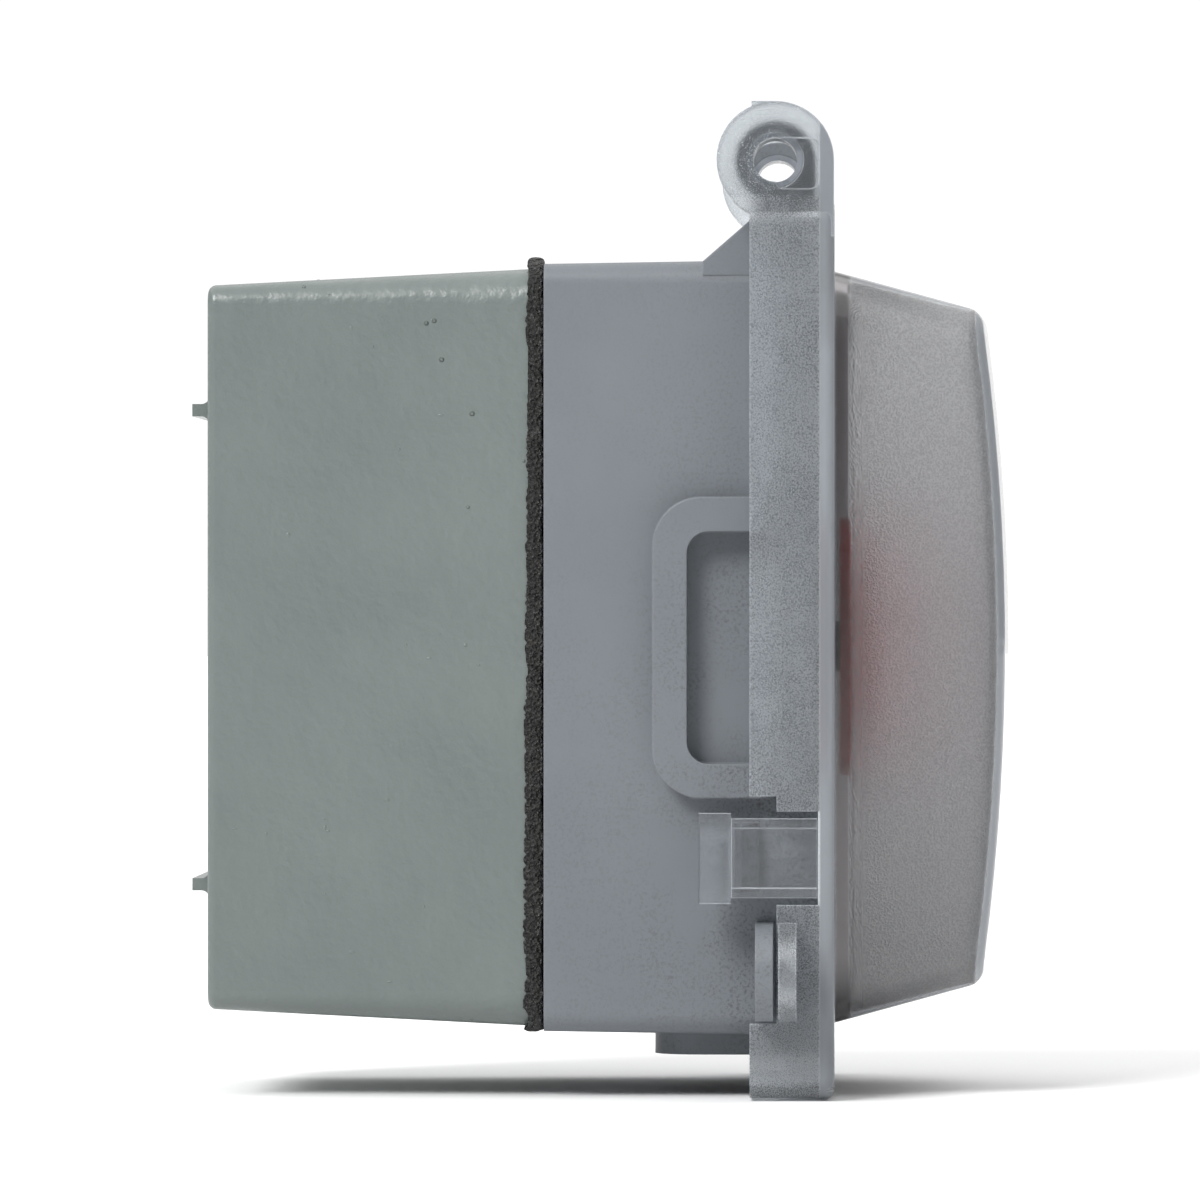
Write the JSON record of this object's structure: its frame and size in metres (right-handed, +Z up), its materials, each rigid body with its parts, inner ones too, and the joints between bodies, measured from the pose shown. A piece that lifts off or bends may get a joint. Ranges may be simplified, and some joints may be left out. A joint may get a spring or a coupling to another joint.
{
  "type": "garage door opener push-button station",
  "caption": "Weatherproof wall station for a garage door opener: cast back box, foam gasket, moulded base with a red mushroom button, and a clear latched lid hinged at the top.",
  "frame": {"origin": "middle of the back box's back face, on the axis of its rear wire entry", "axes": "+Z up, +Y into the wall, so the button and lid face -Y; +X to the right of someone facing the button"},
  "size_m": [0.1047, 0.1257, 0.1513],
  "materials": {
    "box_paint": "grey-green enamel over a die casting, slight orange peel",
    "base_plastic": "moulded blue-grey plastic, satin",
    "clear_plastic": "clear polycarbonate, textured on its inner faces",
    "black_foam": "open-cell sponge",
    "panel_plastic": "fine-grained black plastic",
    "red_plastic": "glossy red",
    "collar_plastic": "black, satin",
    "case_plastic": "dark grey, satin",
    "carrier_plastic": "green moulded nylon",
    "seal_rubber": "flat rubber",
    "nut_metal": "die-cast zinc, dull",
    "screw_steel": "zinc plated",
    "green_screw": "green dyed",
    "contact_brass": "rolled strip"
  },
  "bodies": {
    "housing": {"back_box": "box_paint", "top_entry_plug": "box_paint", "bottom_entry_plug": "box_paint", "ground_screw": "green_screw", "box_gasket": "black_foam", "cover_base": "base_plastic", "base_screws": "screw_steel", "hinge_pins": "base_plastic", "panel_seal": "black_foam", "front_panel": "panel_plastic", "panel_screws": "screw_steel", "button_barrel": "collar_plastic", "button_seal": "seal_rubber", "anti_twist_washer": "screw_steel", "lock_nut": "nut_metal", "button_spring": "screw_steel", "contact_case": "case_plastic", "contact_cover": "case_plastic", "fixed_contacts": "contact_brass", "terminal_screws": "screw_steel", "contact_spring": "screw_steel"},
    "push_button": {"button_head": "red_plastic", "button_stem": "collar_plastic"},
    "contact_bridge": {"contact_carrier": "carrier_plastic", "moving_contact": "contact_brass"},
    "lid": {"lid_shell": "clear_plastic"},
    "latch": {"latch_tongue": "clear_plastic"}
  },
  "joints": [
    {"name": "lid_hinge", "type": "hinge", "parent": "housing", "child": "lid", "pos_m": [0, -0.087, 0.07401], "axis": [-1, 0, 0], "range_deg": [0, 115]},
    {"name": "latch_flex", "type": "hinge", "parent": "lid", "child": "latch", "pos_m": [-0.04541, -0.0934, -0.0319], "axis": [0, 0, 1], "range_deg": [-6, 8], "stiffness_Nm_per_rad": 0.35},
    {"name": "button_press", "type": "slide", "parent": "housing", "child": "push_button", "axis": [0, 1, 0], "range_m": [0, 0.005], "stiffness_N_per_m": 600, "springref_m": -0.004, "deforming": ["button_spring"]},
    {"name": "contact_slide", "type": "slide", "parent": "housing", "child": "contact_bridge", "axis": [0, 1, 0], "range_m": [0, 0.005], "deforming": ["contact_spring"]}
  ],
  "couplings": [
    {"joint": "contact_slide", "follows": "button_press", "ratio": 1}
  ]
}
